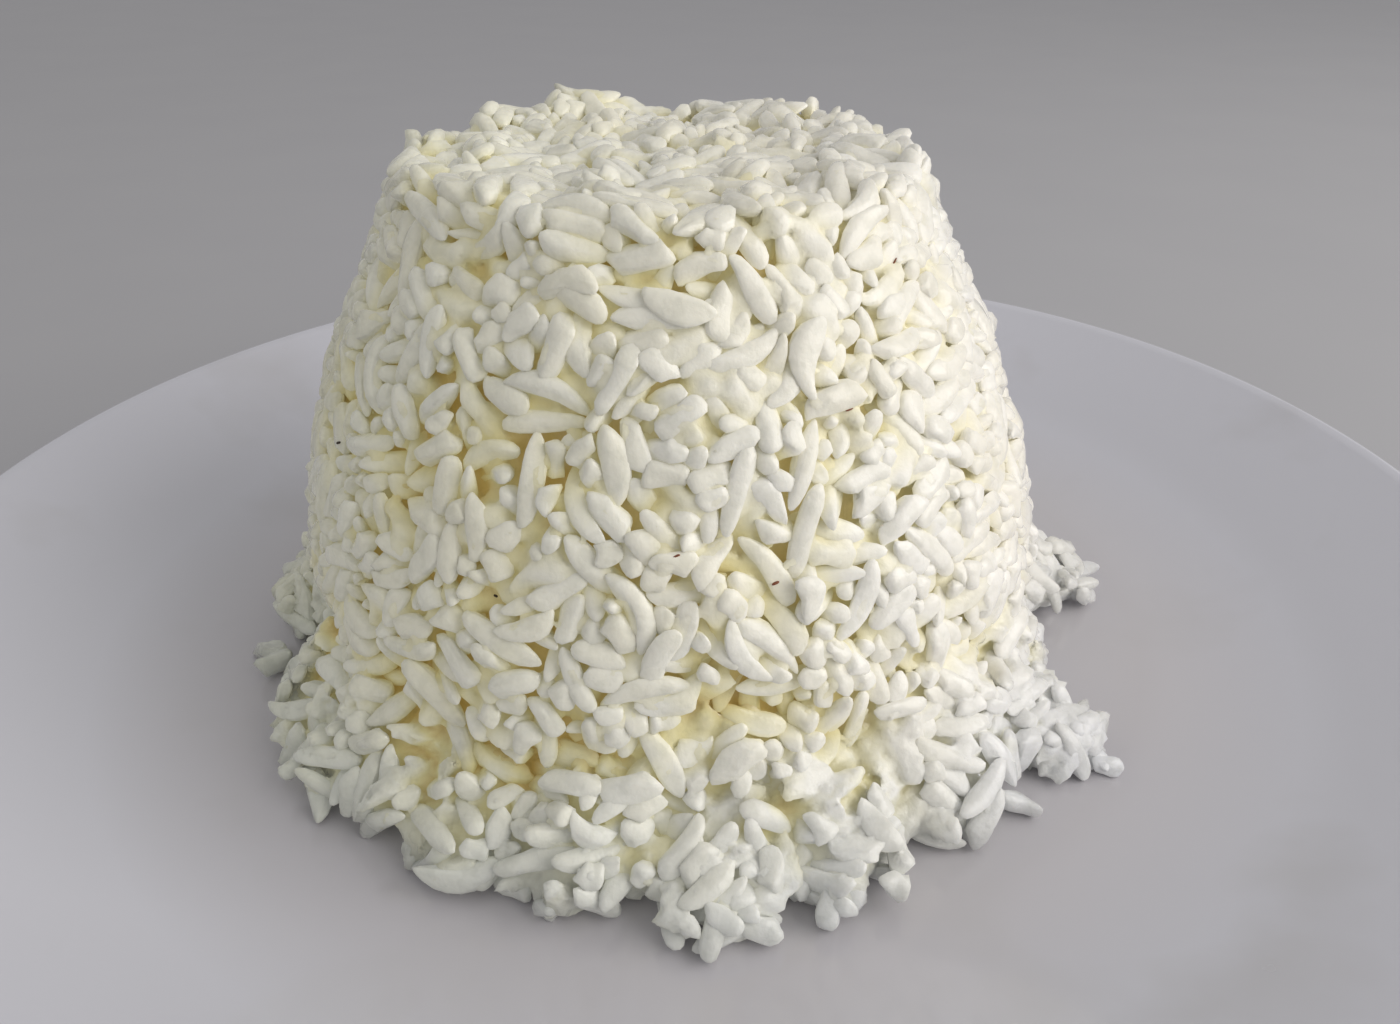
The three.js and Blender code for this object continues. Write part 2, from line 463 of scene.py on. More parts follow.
# clefts that part the skirt into clumps: bearing and half width in degrees, height where each
# ends and depth
clefts = [
    (-166, 2.4, 9, 2.6),
    (-143, 2.2, 11, 2.6),
    (-121, 2.2, 12, 2.8),
    (-90.5, 1.8, 11, 3.6),
    (-76, 1.8, 12, 4.0),
    (-60, 2.0, 9, 3.2),
    (-42, 2.2, 10, 3.0),
    (-26, 2.4, 12, 3.0),
    (-8, 2.4, 10, 2.6),
    (22, 2.8, 11, 2.8),
    (56, 2.6, 10, 3.0),
    (95, 2.8, 12, 3.0),
    (132, 2.6, 10, 2.6),
    (166, 2.6, 12, 2.8),
]

# stretches where the foot lies closer in: bearing and half width in degrees, height where each
# ends and depth
trims = [
    (-163, 10, 15, 4.0),
    (-14, 9, 15, 4.6),
]

# where the top rises or dips: the place from the plate's axis, half width and height
rises = [
    (-17, 21, 8, 2.0),
    (-1, 20, 6, -1.6),
    (13, 23, 8, 0.9),
]


class Field:  # signed distance to a surface, in mm, on a grid
    def __init__(self, low, step, values):
        self.low = low
        self.step = step
        self.size = np.array(values.shape)
        slopes = np.gradient(values, step)
        self.values = np.stack([values, *slopes], -1).reshape(-1, 4)

    def at(self, points):  # (distance, outward direction)
        spot = (points - self.low) / self.step
        spot = np.clip(spot, 0, self.size - 1.001)
        cell = spot.astype(int)
        part = spot - cell
        total = np.zeros((len(points), 4))
        for corner in np.ndindex(2, 2, 2):
            weight = np.prod(np.where(corner, part, 1 - part), axis=1)
            index = np.ravel_multi_index((cell + corner).T, self.size)
            total += weight[:, None] * self.values[index]
        return total[:, 0], unit(total[:, 1:])


def heapBase():  # the middle of the heap's foot, on the glaze
    return np.array([*heap["axis"], plate["wellHeight"] / mm])


def heapTop():  # height above the well
    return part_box("rice_heap")[1].z / mm - heapBase()[2]


def wallRadius(height):
    share = np.clip(height / (heapTop() - heap["shoulderDrop"]), 0, 1)
    return heap["foot"] - (heap["foot"] - heap["shoulder"]) * share ** heap["fullness"]


def onWall(bearing, height):  # the point of the wall at a bearing in degrees
    angle = np.radians(bearing)
    radius = wallRadius(height)
    return heapBase() + np.array([radius * np.cos(angle), radius * np.sin(angle), height])


def bearingAndHeight(points):
    away = points - heapBase()
    return np.degrees(np.arctan2(away[:, 1], away[:, 0])), away[:, 2]


def turnBetween(bearing, other):  # degrees from one bearing to another
    return (bearing - other + 180) % 360 - 180


def inSkirt(height, below, above):  # 1 in the loose skirt, 0 past the mm above its top
    return 1 - stepUp(height, heap["skirtHeight"] - below, heap["skirtHeight"] + above)


def outlineInset(points):  # how uneven the outline is, in mm
    bearing, height = bearingAndHeight(points)
    skirt = inSkirt(height, 5, 1)
    crown = stepUp(height, heapTop() - 5, heapTop() - 1)
    inset = heap["wallRoughness"] * waves(points, heap["wallWave"], 1) * (1 - skirt)
    inset += heap["skirtRoughness"] * waves(points, heap["skirtWave"], 2) * skirt
    inset += heap["topRoughness"] * waves(points, heap["topWave"], 3) * crown
    for x, y, wide, rise in rises:
        away = (points[:, 0] - x) ** 2 + (points[:, 1] - y) ** 2
        inset -= rise * np.exp(-away / wide ** 2) * crown
    for place, spread, end, deep in trims:
        off = turnBetween(bearing, place)
        inset += deep * np.exp(-(off / spread) ** 4) * (1 - stepUp(height, end - 4, end + 4))
    return inset - heap["slump"] * (1 - stepUp(height, 3, heap["slumpHeight"]))


def hollowInset(points):  # how deep the gaps go in below the outline
    bearing, height = bearingAndHeight(points)
    inset = np.zeros(len(points))
    for place, spread, level, deep in crevices:
        off = turnBetween(bearing, place)
        wander = heap["creviceWander"] * np.sin(np.radians(off) * 17 + place)
        across = np.exp(-(off / spread) ** 4)
        inset += deep * across * np.exp(-((height - level - wander) / heap["creviceHeight"]) ** 2)
    for place, spread, end, deep in clefts:
        wander = heap["cleftWander"] * np.sin(height / heap["cleftWave"] + place)
        off = turnBetween(bearing, place + wander)
        inset += deep * np.exp(-(off / spread) ** 2) * (1 - stepUp(height, end - 3, end + 2))
    rng = np.random.default_rng(heap["seed"])
    above, below = heap["pitHeights"]
    pits = [(rng.uniform(-180, 180), rng.uniform(above, heapTop() - below),
             rng.uniform(*heap["pitDepth"]), rng.uniform(*heap["pitRadius"]))
            for _ in range(heap["pits"])]
    for bearing, level, deep, wide in pits + hollows:
        away = ((points - onWall(bearing, level)) / wide) ** 2
        inset += deep * np.exp(-away.sum(1))
    return inset


def makeFields():  # the heap's outline, and the same with its gaps
    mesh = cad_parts["rice_heap"].data
    bottom = min(v.co.z for v in mesh.vertices) + heap["bottomSkip"] * mm
    faces = [p.vertices for p in mesh.polygons if p.center.z > bottom]
    tree = BVHTree.FromPolygons([v.co for v in mesh.vertices], faces)
    low, high = (np.array(corner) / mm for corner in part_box("rice_heap"))
    low, high = low - heap["margin"], high + heap["margin"]
    step = heap["gridStep"]
    size = np.ceil((high - low) / step).astype(int) + 1
    lines = [low[k] + step * np.arange(size[k]) for k in range(3)]
    grid = np.stack(np.meshgrid(*lines, indexing="ij"), -1).reshape(-1, 3)
    values = np.empty(len(grid))
    axis = heapBase() * mm
    for i, (x, y, z) in enumerate(grid * mm):
        point = Vector((x, y, max(z, bottom)))
        outwards = Vector((x - axis[0], y - axis[1], 0)).normalized()
        _, normal, _, _ = tree.ray_cast(point, outwards)
        inside = normal is not None and normal.dot(outwards) > 0
        away = tree.find_nearest(point)[3] / mm
        values[i] = -away if inside else away
    values += outlineInset(grid)
    outline = Field(low, step, values.reshape(size))
    return outline, Field(low, step, (values + hollowInset(grid)).reshape(size))


kinds = {  # lengths and widths in mm
    "whole": {"piece": "whole_grains", "share": 0.37, "length": (7.0, 10.0), "width": (2.15, 2.7),
              "bend": 0.19, "ends": (1.9, 4.0), "taper": 0.20, "cut": 0.10},
    "broken": {"piece": "broken_grains", "share": 0.38, "length": (4.2, 7.0), "width": (2.1, 2.8),
               "bend": 0.11, "ends": (2.3, 11.0), "taper": 0.32, "cut": 0.5},
    "bits": {"piece": "grain_bits", "share": 0.25, "length": (2.6, 4.2), "width": (1.9, 2.7),
             "bend": 0.04, "ends": (2.4, 10.0), "taper": 0.30, "cut": 0.5},
}

packing = {
    "grains": 3250,
    "tries": 40000,     # places drawn at a time
    "floorGap": 0.05,   # mm kept under them
    "shell": 5.5,       # mm deep, over the core
    "room": 1.2,        # mm that they start from the wall and the floor
    "steps": 90,
    "eager": 1.6,       # over-relaxation
    "softness": 0.95,   # grains press into each other by the rest
    "flush": 0.8,       # share of a grain's radius kept inside the wall
    "press": 0.05,      # mm outwards each step, while the bowl packs them
    "pressTime": 0.7,   # share of the steps by which that has faded
    "company": 4.6,     # a grain with few others this near is left out
    "fewest": 3,
    "beadLength": 1.5,  # mm between the beads that a grain is packed as
    "beadShare": 0.95,  # a bead's width against its grain's
    "seed": 5,
}

# grains laid one by one where they have rolled off the foot: the middle from the plate's axis in
# mm, height above the well, heading and rise in degrees, length and width in mm
strays = [
    (2.6, -60.0, 2.3, -112, -14, 8.4, 2.9),    # the one that points to the front
    (6.4, -60.4, 1.9, -20, -4, 5.0, 2.8),
    (0.4, -57.6, 2.0, -160, 0, 5.6, 2.7),
    (4.6, -56.6, 3.4, -80, 10, 6.4, 2.8),
    (13.6, -58.0, 1.7, -100, 0, 5.2, 2.9),     # tip of the right-hand lobe
    (15.4, -55.6, 2.6, -60, -8, 6.0, 2.9),
    (11.6, -54.4, 2.4, -120, -6, 5.4, 2.6),
    (-21.6, -53.2, 3.0, -100, -30, 5.2, 2.9),  # end on, front left
    (-25.4, -51.6, 1.6, 170, 0, 5.6, 2.9),
    (-18.6, -54.2, 1.6, -40, 0, 4.8, 2.8),
    (30.4, -46.6, 1.2, -70, -10, 3.6, 2.7),    # a cut cube
    (36.4, -43.6, 1.2, -30, 0, 5.0, 2.7),
    (46.6, -36.0, 1.6, -55, 0, 6.0, 2.8),      # the clump out to the right
    (43.4, -35.6, 1.9, -10, 10, 6.4, 2.7),
    (45.6, -32.4, 3.2, 40, 20, 5.4, 2.9),
    (48.4, -37.6, 1.1, -20, 0, 3.6, 2.6),
    (42.0, -33.0, 2.4, 60, 0, 5.6, 2.7),
    (56.8, 3.0, 1.6, 5, 8, 7.0, 2.8),          # and the one behind it
    (54.6, -2.2, 1.6, -25, 0, 6.2, 2.7),
    (55.0, 6.2, 2.2, 40, 10, 5.4, 2.8),
    (52.4, 1.4, 3.2, -70, 0, 5.0, 2.8),
    (-57.0, -14.4, 1.1, 150, 0, 6.0, 2.7),     # left, towards the back
    (-55.4, -17.4, 1.8, -130, 8, 5.0, 2.8),
    (-56.2, 22.0, 1.05, 120, 0, 5.4, 2.7),
    (18.0, 56.4, 1.05, 60, 0, 5.6, 2.7),
    (-24.0, 55.6, 1.1, 100, 0, 5.0, 2.8),
]

# grains that stand out of the wall: bearing, height above the well, how far the middle is out
# in mm, heading out of the wall and rise in degrees, length and width in mm
pokes = [
    (168, 63.6, 0.4, 80, 74, 6.4, 2.5),  # upright at the left end of the top
    (176, 45.0, 0.8, 60, 30, 4.6, 2.6),
    (4, 58.5, 0.6, 40, 60, 5.0, 2.4),
    (-6, 44.5, 0.7, 60, -20, 5.4, 2.5),
    (40, 61.0, 0.4, 30, 50, 5.0, 2.5),
    (-104, 59.0, 0.9, 80, 12, 6.0, 2.7),
    (-86, 57.0, 0.8, 70, -10, 7.6, 2.7),
    (-90, 26.0, 0.9, 80, 64, 7.6, 2.6),
    (-70.5, 30.0, 0.9, 80, 84, 5.2, 2.5),
    (-101, 12.0, 1.4, 84, 8, 7.0, 2.8),
    (-94, 12.2, 1.6, 84, 20, 6.6, 2.8),
    (100, 52.0, 0.6, 70, 30, 6.0, 2.6),
    (70, 24.0, 0.7, 70, -30, 6.4, 2.7),
]


def nearPairs(points, reach):  # index pairs whose cells touch
    cells = np.floor(points / reach).astype(np.int64)
    cells -= cells.min(0) - 1
    size = cells.max(0) + 2
    key = (cells[:, 0] * size[1] + cells[:, 1]) * size[2] + cells[:, 2]
    order = np.argsort(key, kind="stable")
    key = key[order]
    here = np.arange(len(points))
    pairs = []
    for shift in np.ndindex(3, 3, 3):
        dx, dy, dz = (s - 1 for s in shift)
        if (dx, dy, dz) < (0, 0, 0):
            continue
        other = key + (dx * size[1] + dy) * size[2] + dz
        start = np.searchsorted(key, other, "left")
        stop = np.searchsorted(key, other, "right")
        if (dx, dy, dz) == (0, 0, 0):
            start = here + 1
        counts = np.maximum(stop - start, 0)
        first = np.repeat(here, counts)
        run = np.arange(counts.sum()) - np.repeat(np.cumsum(counts) - counts, counts)
        pairs.append((order[first], order[np.repeat(start, counts) + run]))
    return (np.concatenate(side) for side in zip(*pairs))


def sumBy(owner, vectors, count):
    return np.stack([np.bincount(owner, vectors[:, k], count) for k in range(3)], -1)


def drawGrains(field, rng):  # sizes, places and directions before packing
    names = list(kinds)
    shares = np.array([kinds[n]["share"] for n in names])
    kind = rng.choice(len(names), packing["grains"], p=shares / shares.sum())
    spans = np.array([kinds[n]["length"] for n in names])[kind]
    widths = np.array([kinds[n]["width"] for n in names])[kind]
    length = rng.uniform(spans[:, 0], spans[:, 1])
    width = rng.uniform(widths[:, 0], widths[:, 1])
    places = []
    total = 0
    high = field.low + field.step * (field.size - 1)
    floor = heapBase()[2]
    while total < packing["grains"]:
        tries = rng.uniform(field.low, high, (packing["tries"], 3))
        away, _ = field.at(tries)
        good = (away < -packing["room"]) & (away > -packing["shell"] + 1)
        good = tries[good & (tries[:, 2] > floor + packing["room"])]
        places.append(good)
        total += len(good)
    places = np.concatenate(places)[:packing["grains"]]
    return {"kind": kind, "length": length, "width": width, "centre": places,
            "way": unit(rng.normal(size=places.shape))}


def packGrains(field):  # each grain is a stiff row of beads
    rng = np.random.default_rng(packing["seed"])
    grains = drawGrains(field, rng)
    length, centre, way = grains["length"], grains["centre"], grains["way"]
    count = len(length)
    radius = grains["width"] / 2 * packing["beadShare"]
    beads = np.maximum(2, np.ceil(length / packing["beadLength"])).astype(int)
    owner = np.repeat(np.arange(count), beads)
    rank = np.arange(beads.sum()) - np.repeat(np.cumsum(beads) - beads, beads)
    half = length / 2 - radius
    along = (rank / (beads[owner] - 1) * 2 - 1) * half[owner]
    size = radius[owner]
    inertia = np.bincount(owner, along ** 2, count)
    floor = heapBase()[2] + packing["floorGap"]
    for step in range(packing["steps"]):
        balls = centre[owner] + along[:, None] * way[owner]
        a, b = nearPairs(balls, 2 * size.max())
        apart = owner[a] != owner[b]
        a, b = a[apart], b[apart]
        line = balls[b] - balls[a]
        gap = np.linalg.norm(line, axis=1)
        want = (size[a] + size[b]) * packing["softness"]
        hit = gap < want
        a, b, line, gap, want = a[hit], b[hit], line[hit], gap[hit], want[hit]
        push = line * ((want - gap) / np.maximum(gap, 1e-3) / 2)[:, None]
        move = sumBy(b, push, len(balls)) - sumBy(a, push, len(balls))
        hits = np.bincount(a, minlength=len(balls)) + np.bincount(b, minlength=len(balls))
        move /= np.maximum(hits, 1)[:, None]
        away, out = field.at(balls)
        move -= out * np.maximum(away + size * packing["flush"], 0)[:, None]
        move += out * np.maximum(-packing["shell"] - away, 0)[:, None]
        fade = step / (packing["steps"] * packing["pressTime"])
        press = packing["press"] * max(0, 1 - fade)
        move += out * np.where(away < -size, press, 0)[:, None]
        move[:, 2] += np.maximum(floor + size - balls[:, 2], 0)
        move *= packing["eager"]
        centre = centre + sumBy(owner, move, count) / beads[:, None]
        turn = sumBy(owner, move * along[:, None], count) / inertia[:, None]
        way = unit(way + turn - way * (turn * way).sum(1)[:, None])
    worst = np.percentile(want - gap, 90)
    print(f"packed {count} grains as {len(owner)} beads, overlap {worst:.2f} mm")
    grains.update(centre=centre, way=way)
    a, b = nearPairs(centre, packing["company"])
    close = np.linalg.norm(centre[a] - centre[b], axis=1) < packing["company"]
    friends = np.bincount(np.concatenate([a[close], b[close]]), minlength=count)
    return {key: values[friends >= packing["fewest"]] for key, values in grains.items()}


def kindOf(length):  # 0 whole, 1 broken, 2 a bit
    limits = [kinds[name]["length"][0] for name in ("whole", "broken")]
    return next((i for i, least in enumerate(limits) if length >= least), len(limits))


def pointing(heading, rise=0):  # a direction, from degrees
    flat, steep = math.radians(heading), math.radians(rise)
    across = math.cos(steep)
    return np.array([math.cos(flat) * across, math.sin(flat) * across, math.sin(steep)])


def laidGrains():  # the strays and pokes
    rows = []
    for x, y, lift, heading, rise, length, width in strays:
        middle = (x, y, heapBase()[2] + lift)
        rows.append((length, width, middle, pointing(heading, rise)))
    for bearing, height, out, heading, rise, length, width in pokes:
        middle = onWall(bearing, height) + pointing(bearing) * (out - width / 2)
        rows.append((length, width, middle, pointing(bearing + heading, rise)))
    length, width, centre, way = (np.array(column, float) for column in zip(*rows))
    kind = np.array([kindOf(value) for value in length])
    return {"kind": kind, "length": length, "width": width, "centre": centre, "way": unit(way)}


shapes = {
    "templates": 26,           # different grains of each kind
    "rings": 9,
    "sides": 11,
    "flatness": (0.70, 0.94),  # thickness as a share of width
    "lumps": 0.06,
    "waist": 0.10,
    "dents": 0.13,
    "floorGap": 0.03,          # mm that every point keeps from the plate
    "bendMiddle": 0.35,        # keeps a bent grain round its own middle
    "corners": 3.0,            # 2 is a round section
    "dentSize": 1.5,           # half a grain's length is 1
    "roll": 0.5,               # spread, in radians
}


def grainTemplate(kind, rng):             # along X from -1 to 1, Y and Z from -1 to 1
    rings, sides = shapes["rings"], shapes["sides"]
    share = np.arange(1, rings + 1) / (rings + 1)
    x = -np.cos(math.pi * share)
    ends = rng.uniform(*kind["ends"], 2)  # superellipse powers: 2 is an egg, 8 a cut end
    girth = (1 - np.abs(x) ** np.where(x < 0, ends[0], ends[1])) ** 0.5
    girth *= 1 + shapes["waist"] * np.sin(2.2 * x + rng.uniform(0, 6.3))
    girth *= 1 - rng.uniform(-1, 1) * kind["taper"] * x
    angle = 2 * math.pi * np.arange(sides) / sides + rng.uniform(0, 1)
    x, angle = x[:, None], angle[None, :]
    skin = 1 + shapes["lumps"] * np.sin(2 * angle + 2 * x + rng.uniform(0, 6.3))
    skin = skin + shapes["lumps"] * np.sin(3 * angle - 3 * x + rng.uniform(0, 6.3))
    power = shapes["corners"]
    square = (np.abs(np.cos(angle)) ** power + np.abs(np.sin(angle)) ** power) ** (-1 / power)
    skin = skin * (0.5 + 0.5 * square)
    y = girth[:, None] * skin * np.cos(angle)
    z = girth[:, None] * skin * np.sin(angle) * rng.uniform(*shapes["flatness"])
    slant = np.where(x < 0, *rng.uniform(-kind["cut"], kind["cut"], 2)) * np.abs(x) ** 4
    body = np.stack([x + slant * y, y, z], -1).reshape(-1, 3)
    body = np.concatenate([[[-1, 0, 0]], body, [[1, 0, 0]]])
    dents = [waves(body, shapes["dentSize"], rng.integers(1 << 30), 5) for _ in range(2)]
    body[:, 1:] += shapes["dents"] * np.stack(dents, -1)
    return body


def grainFaces():
    rings, sides = shapes["rings"], shapes["sides"]
    last = 1 + (rings - 1) * sides
    faces = []
    for k in range(sides):
        n = (k + 1) % sides
        faces.append((0, 1 + n, 1 + k))
        faces.append((last + sides, last + k, last + n))
        for r in range(rings - 1):
            a, b = 1 + r * sides + k, 1 + r * sides + n
            faces += [(a, b, b + sides), (a, b + sides, a + sides)]
    return np.array(faces)


def shapeGrains(name, grains, keep, field, rng):
    picked = np.flatnonzero((grains["kind"] == list(kinds).index(name)) & keep)
    length, width = grains["length"][picked], grains["width"][picked]
    centre, way = grains["centre"][picked], grains["way"][picked]
    count = len(picked)
    templates = np.stack([grainTemplate(kinds[name], rng) for _ in range(shapes["templates"])])
    body = templates[rng.integers(len(templates), size=count)]
    body = body * np.stack([length, width, width], -1)[:, None] / 2
    _, out = field.at(centre)
    side = unit(np.cross(out, way) + 1e-3)
    up = np.cross(way, side)
    roll = rng.normal(0, shapes["roll"], count)
    side, up = (side * np.cos(roll)[:, None] + up * np.sin(roll)[:, None],
                up * np.cos(roll)[:, None] - side * np.sin(roll)[:, None])
    bend = rng.normal(0, kinds[name]["bend"], count)[:, None] * length[:, None] / 2
    x = body[:, :, 0] / (length[:, None] / 2)
    body[:, :, 1] += bend * (x ** 2 - shapes["bendMiddle"])
    points = centre[:, None] + body[:, :, :1] * way[:, None]
    points = points + body[:, :, 1:2] * side[:, None] + body[:, :, 2:] * up[:, None]
    starts = np.arange(count)[:, None, None] * body.shape[1]
    triangles = (grainFaces()[None] + starts).reshape(-1, 3)
    return points.reshape(-1, 3), triangles, np.repeat(picked, body.shape[1])


def joined(parts):  # several (points, triangles) as one
    starts = np.cumsum([0] + [len(part[0]) for part in parts[:-1]])
    triangles = [part[1] + start for part, start in zip(parts, starts)]
    return np.concatenate([part[0] for part in parts]), np.concatenate(triangles)


def pressFlat(points, field, hardness=0.4):  # what stands out of the wall is pressed back
    away, out = field.at(points)
    _, height = bearingAndHeight(points)
    firm = hardness * (1 - inSkirt(height, 4, 3))
    return points - out * (np.maximum(away, 0) * firm)[:, None]


def depthBelow(points, outline):  # how deep in the heap a point counts as lying
    away, _ = outline.at(points)
    _, height = bearingAndHeight(points)
    loose = inSkirt(height, 9, 0)
    return (cookedRice["skirtDepth"] * loose - away) * stepUp(height, 1, heap["slumpHeight"])


def addRice(name, points, triangles, material, outline, depth, tint, evenness):
    points[:, 2] = np.maximum(points[:, 2], heapBase()[2] + shapes["floorGap"])
    _, out = outline.at(points)
    mesh = bpy.data.meshes.new(name)
    fillMesh(mesh, points * mm, triangles)
    layers = {"depth": np.maximum(depth, 0), "tint": tint}
    for key, values in layers.items():
        layer = mesh.attributes.new(key, "FLOAT", "POINT")
        layer.data.foreach_set("value", np.asarray(values, np.float32))
    piece = addPiece(name, mesh, material, "rice_heap")
    normals = np.empty(len(points) * 3, np.float32)
    mesh.vertices.foreach_get("normal", normals)  # light that passes through evens out the shading
    mixed = normals.reshape(-1, 3) * (1 - evenness) + out * evenness
    mesh.normals_split_custom_set_from_vertices(unit(mixed))
    print(name, len(triangles), "triangles")
    return piece


bed = {                              # the fused rice behind and between the grains
    "voxel": 0.5,                    # mm
    "smoothing": 1,                  # passes
    "softening": 0.5,                # of each pass
    "core": 3.2,                     # mm of grains over its solid middle
    "skirtCore": 2.8,
    "thinner": 0.78,                 # what lies under the clear grains, against them
    "split": 27.0,                   # height where the upper bed takes over
    "bottom": 1.0,
    "overlap": 1.0,
    "coreRows": 16,
    "coreColumns": 80,
    "coreSearch": (4.0, 60.0, 0.5),  # from the axis: start, end and step
    "most": 190000,                  # triangles each
    "skirtLumps": 0.25,              # mm, in the skirt
    "lumpWidth": 1.5,
}


def coreShape(field, low, high):  # a solid middle between two heights
    rows, columns = bed["coreRows"], bed["coreColumns"]
    height, angle = np.meshgrid(np.linspace(low, high, rows),
                                np.arange(columns) * 2 * math.pi / columns, indexing="ij")
    height, angle = height.ravel(), angle.ravel()
    radii = np.arange(*bed["coreSearch"])
    rays = np.stack([np.cos(angle), np.sin(angle), np.zeros(len(angle))], -1)
    starts = heapBase() + np.stack([0 * height, 0 * height, height], -1)
    tries = starts[:, None] + radii[None, :, None] * rays[:, None]
    away, _ = field.at(tries.reshape(-1, 3))
    cover = np.where(height < heap["skirtHeight"] - 3, bed["skirtCore"], bed["core"])[:, None]
    inside = np.cumprod(away.reshape(len(angle), -1) < -cover, axis=1).sum(1)
    reach = radii[np.maximum(inside - 1, 0)]
    spots = starts + rays * reach[:, None]
    faces = []
    for r in range(rows - 1):
        for k in range(columns):
            a, b = r * columns + k, r * columns + (k + 1) % columns
            faces += [(a, b, b + columns), (a, b + columns, a + columns)]
    last = (rows - 1) * columns
    faces += [(len(spots), (k + 1) % columns, k) for k in range(columns)]
    faces += [(len(spots) + 1, last + k, last + (k + 1) % columns) for k in range(columns)]
    ends = heapBase() + np.array([[0, 0, low], [0, 0, high]])
    return np.concatenate([spots, ends]), np.array(faces)


def inOrder(triangles):  # remeshing gives them in another order each run
    first = triangles.argmin(1)[:, None]
    turned = np.take_along_axis(triangles, (first + np.arange(3)) % 3, 1)
    return turned[np.lexsort(turned.T)]


def fused(points, triangles):  # closed shapes melted into one skin
    mesh = bpy.data.meshes.new("fusing")
    fillMesh(mesh, points * mm, triangles)
    body = bpy.data.objects.new("fusing", mesh)
    bpy.context.scene.collection.objects.link(body)
    fuse = body.modifiers.new("fuse", "REMESH")
    fuse.mode = "VOXEL"
    fuse.voxel_size = bed["voxel"] * mm
    soften = body.modifiers.new("soften", "SMOOTH")
    soften.factor = bed["softening"]
    soften.iterations = bed["smoothing"]
    full = body.evaluated_get(bpy.context.evaluated_depsgraph_get()).to_mesh()
    full.calc_loop_triangles()
    print("fused skin of", len(full.loop_triangles), "triangles")
    thin = body.modifiers.new("thin", "DECIMATE")
    thin.ratio = min(1, bed["most"] / len(full.loop_triangles))
    done = body.evaluated_get(bpy.context.evaluated_depsgraph_get()).to_mesh()
    out = np.empty(len(done.vertices) * 3, np.float32)
    done.vertices.foreach_get("co", out)
    done.calc_loop_triangles()
    faces = np.empty(len(done.loop_triangles) * 3, np.int32)
    done.loop_triangles.foreach_get("vertices", faces)
    bpy.data.objects.remove(body)
    return out.reshape(-1, 3).astype(float) / mm, inOrder(faces.reshape(-1, 3))


def addBed(name, grains, keep, ends, fields, material, rng):
    outline, envelope = fields
    parts = [shapeGrains(kind, grains, keep, envelope, rng)[:2] for kind in kinds]
    points, triangles = fused(*joined([coreShape(envelope, *ends)] + parts))
    _, height = bearingAndHeight(points)
    loose = inSkirt(height, 6, 1)
    lumps = bed["skirtLumps"] * loose * waves(points, bed["lumpWidth"], 31)
    points = points + outline.at(points)[1] * lumps[:, None]
    depth = depthBelow(points, outline) + cookedRice["bedDepth"]
    return addRice(name, points, triangles, material, outline, depth, np.full(len(points), 0.5),
                   cookedRice["bedEvenness"])


flecks = {                  # specks of bran
    "places": [             # bearing and height above the well
        (-60.3, 46.4), (-42.4, 57.6), (-74.6, 31.8), (-87.6, 36.0), (-113, 29.0), (-148, 38.0),
        (17, 40.0), (58, 21.0), (93, 52.0), (139, 30.0), (176, 55.0),
    ],
    "length": (0.45, 0.9),  # mm
    "width": (0.18, 0.28),
    "lift": 0.2,            # share of the width that the middle stands out
    "start": 0.01,          # m outside the wall, where the search starts
    "colour": (0.045, 0.03, 0.018, 1),
    "redColour": (0.22, 0.07, 0.03, 1),
    "redPatches": (0.012, 0.5, 0.6, 1, 1.9),
    "roughness": 0.4,
    "grain": 0.0005,        # of its own roughness
    "grainShare": 0.2,
    "seed": 41,
}


def fleckMaterial():
    shader = Shader("bran", IOR=1.45)
    red = shader.patches(*flecks["redPatches"])
    colour = shader.mixColours(red, flecks["colour"], flecks["redColour"])
    rough = flecks["roughness"] + shader.noise(flecks["grain"]) * flecks["grainShare"]
    return shader.finish(Base_Color=colour, Roughness=rough)


def buildFlecks(rice):  # tiny spindles that lie on the grains
    rng = np.random.default_rng(flecks["seed"])
    bodies = []
    for bearing, height in flecks["places"]:
        away = Vector(pointing(bearing))
        start = Vector(onWall(bearing, height) * mm) + away * flecks["start"]
        hits = [piece.ray_cast(start, -away) for piece in rice]
        hits = [hit for hit in hits if hit[0]]
        _, spot, normal, _ = min(hits, key=lambda hit: (hit[1] - start).length)
        length, width = rng.uniform(*flecks["length"]) * mm, rng.uniform(*flecks["width"]) * mm
        along = normal.cross(Vector(rng.normal(size=3))).normalized()
        across = normal.cross(along)
        body = grainTemplate(kinds["whole"], rng) @ np.diag([length, width, width]) / 2
        middle = np.array(spot + normal * width * flecks["lift"])
        body = body @ np.array([along, across, normal]) + middle
        bodies.append((body, grainFaces()))
    points, triangles = joined(bodies)
    mesh = bpy.data.meshes.new("bran_flecks")
    fillMesh(mesh, points, triangles)
    addPiece("bran_flecks", mesh, fleckMaterial(), "rice_heap")
    print("bran_flecks", len(triangles), "triangles")


def addLight(name, place, target, size, power, colour):
    data = bpy.data.lights.new(name, "AREA")
    data.shape = "RECTANGLE"
    data.size, data.size_y = size
    data.energy = power
    data.color = colour
    lamp = bpy.data.objects.new(name, data)
    lamp.location = place
    lamp.rotation_euler = (Vector(target) - Vector(place)).to_track_quat("-Z", "Y").to_euler()
    bpy.context.scene.collection.objects.link(lamp)


studio = {
    "air": (1.0, 0.985, 0.99, 1),
    "airStrength": 0.47,
    "window": (0.655, -0.265, 0.375),
    "windowAim": (0, 0, 0.035),
    "windowSize": (0.8, 0.7),
    "windowPower": 4.7,
    "windowColour": (1.0, 0.965, 0.93),
    "floorReach": 3.0,
    "floor": (0.44, 0.44, 0.46, 1),
    "floorCloud": (0.47, 0.47, 0.485, 1),
    "floorCloudSize": 0.05,
    "diffuseBounces": 5,
    "bounces": 7,
}


